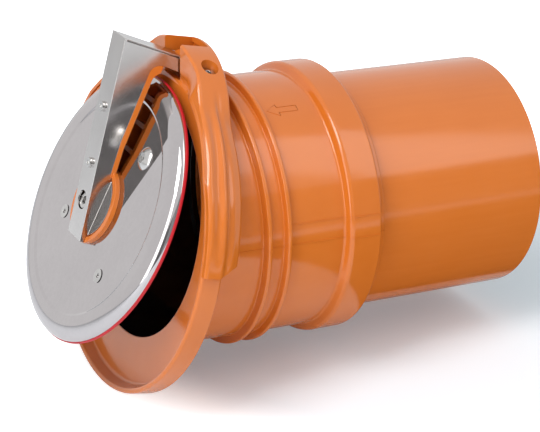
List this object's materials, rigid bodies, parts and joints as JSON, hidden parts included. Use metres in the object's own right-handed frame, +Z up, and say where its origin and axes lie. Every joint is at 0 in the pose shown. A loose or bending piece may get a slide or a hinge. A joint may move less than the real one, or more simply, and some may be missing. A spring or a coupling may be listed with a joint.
{
  "type": "backwater valve",
  "caption": "Backwater flap valve for a drain pipe: socketed plastic body with a leaning round seat, hinged stainless flap with seal on a wedge arm, and a stub of inlet pipe.",
  "frame": {"origin": "on the pipe axis, where the straight wall of the inlet pipe starts and its tapered end begins, at the mouth of the socket", "axes": "+X along the pipe, away from the flap; +Z up; +Y to the side, the hinge axis runs along Y"},
  "size_m": [0.3253, 0.2242, 0.2395],
  "materials": {
    "body_pvc": "orange-brown moulded PVC, semi-gloss",
    "pipe_pvc": "orange-brown extruded PVC pipe, glossy",
    "polished_stainless": "polished stainless sheet",
    "brushed_stainless": "satin stainless sheet",
    "fastener_steel": "bright stainless",
    "red_seal": "red silicone rubber",
    "black_rubber": "black EPDM rubber",
    "grey_plastic": "grey engineering plastic"
  },
  "bodies": {
    "body": {"valve_body": "body_pvc", "seat_flange": "body_pvc", "hinge_yoke": "body_pvc", "yoke_screws": "fastener_steel", "hinge_pin": "fastener_steel", "thrust_washers": "grey_plastic", "socket_seal": "black_rubber", "inlet_pipe": "pipe_pvc"},
    "flap": {"flap_plate": "polished_stainless", "stiffener_disc": "grey_plastic", "flap_seal": "red_seal", "backing_plate": "brushed_stainless", "arm_cover": "brushed_stainless", "arm_core": "body_pvc", "hinge_bush": "grey_plastic", "cover_screws": "fastener_steel", "pivot_bolt": "fastener_steel", "pivot_washer": "fastener_steel", "pivot_nut": "fastener_steel", "clamp_screw": "fastener_steel", "dimple_screws": "fastener_steel", "clamp_washers": "fastener_steel", "clamp_nuts": "fastener_steel"}
  },
  "joints": [
    {"name": "flap_hinge", "type": "hinge", "parent": "body", "child": "flap", "pos_m": [-0.10616, 0, 0.10205], "axis": [0, 1, 0], "range_deg": [-14.8, 60]}
  ]
}
